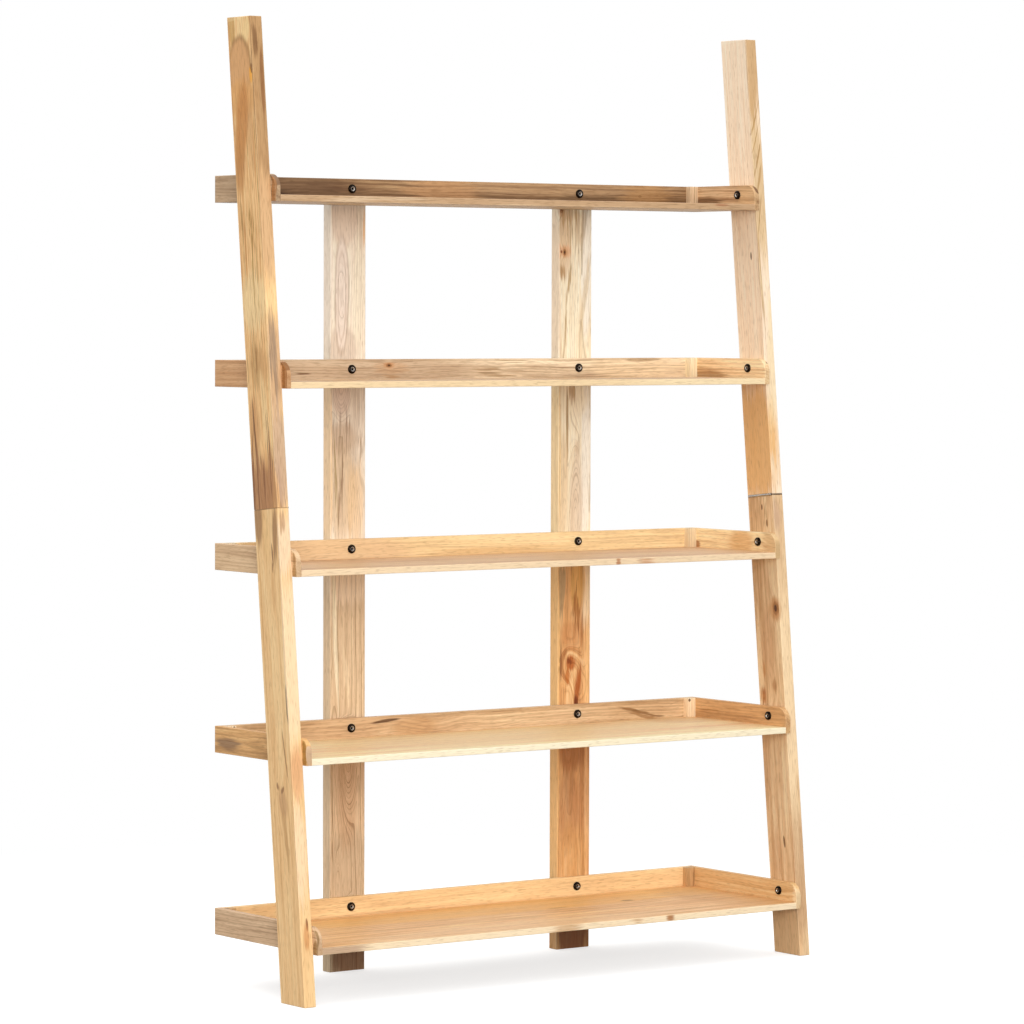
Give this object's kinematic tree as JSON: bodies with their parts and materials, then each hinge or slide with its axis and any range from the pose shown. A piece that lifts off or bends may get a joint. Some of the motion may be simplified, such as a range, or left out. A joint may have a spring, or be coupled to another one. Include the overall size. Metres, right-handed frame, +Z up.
{
  "type": "ladder shelf",
  "caption": "Free-standing ladder shelf in solid wood: leaning front legs and upright rear posts carry open trays that get deeper towards the floor.",
  "frame": {"origin": "on the floor, at the middle of the shelf's outline", "axes": "+Z up, +X to the right of someone facing the shelf, +Y towards the back"},
  "size_m": [1.19, 0.37, 1.8],
  "materials": {
    "leg_wood": "oiled solid mango wood, straight grain",
    "post_wood": "oiled solid mango wood, greyer boards",
    "tray_wood": "oiled solid mango wood",
    "block_wood": "oiled solid mango wood, upright grain",
    "black_steel": "satin black coated steel",
    "hinge_steel": "bright zinc-plated steel",
    "zinc": "zinc-plated"
  },
  "bodies": {
    "root": {"left_leg_lower": "leg_wood", "left_leg_hinge_lower_leaf": "hinge_steel", "left_leg_upper": "leg_wood", "left_leg_hinge_upper_leaf": "hinge_steel", "left_leg_hinge_pin": "hinge_steel", "left_leg_hinge_screws": "zinc", "left_post_lower": "post_wood", "left_post_hinge_lower_leaf": "hinge_steel", "left_post_upper": "post_wood", "left_post_hinge_upper_leaf": "hinge_steel", "left_post_hinge_pin": "hinge_steel", "left_post_hinge_screws": "zinc", "right_leg_lower": "leg_wood", "right_leg_hinge_lower_leaf": "hinge_steel", "right_leg_upper": "leg_wood", "right_leg_hinge_upper_leaf": "hinge_steel", "right_leg_hinge_pin": "hinge_steel", "right_leg_hinge_screws": "zinc", "right_post_lower": "post_wood", "right_post_hinge_lower_leaf": "hinge_steel", "right_post_upper": "post_wood", "right_post_hinge_upper_leaf": "hinge_steel", "right_post_hinge_pin": "hinge_steel", "right_post_hinge_screws": "zinc", "tray_1_left_wall": "tray_wood", "tray_1_right_wall": "tray_wood", "tray_1_back": "tray_wood", "tray_1_panel": "tray_wood", "tray_1_corner_blocks": "block_wood", "tray_1_bolts": "black_steel", "tray_1_inserts": "zinc", "tray_2_left_wall": "tray_wood", "tray_2_right_wall": "tray_wood", "tray_2_back": "tray_wood", "tray_2_panel": "tray_wood", "tray_2_corner_blocks": "block_wood", "tray_2_bolts": "black_steel", "tray_2_inserts": "zinc", "tray_3_left_wall": "tray_wood", "tray_3_right_wall": "tray_wood", "tray_3_back": "tray_wood", "tray_3_panel": "tray_wood", "tray_3_corner_blocks": "block_wood", "tray_3_bolts": "black_steel", "tray_3_inserts": "zinc", "tray_4_left_wall": "tray_wood", "tray_4_right_wall": "tray_wood", "tray_4_back": "tray_wood", "tray_4_panel": "tray_wood", "tray_4_corner_blocks": "block_wood", "tray_4_bolts": "black_steel", "tray_4_inserts": "zinc", "tray_5_left_wall": "tray_wood", "tray_5_right_wall": "tray_wood", "tray_5_back": "tray_wood", "tray_5_panel": "tray_wood", "tray_5_corner_blocks": "block_wood", "tray_5_bolts": "black_steel", "tray_5_inserts": "zinc"}
  },
  "joints": []
}
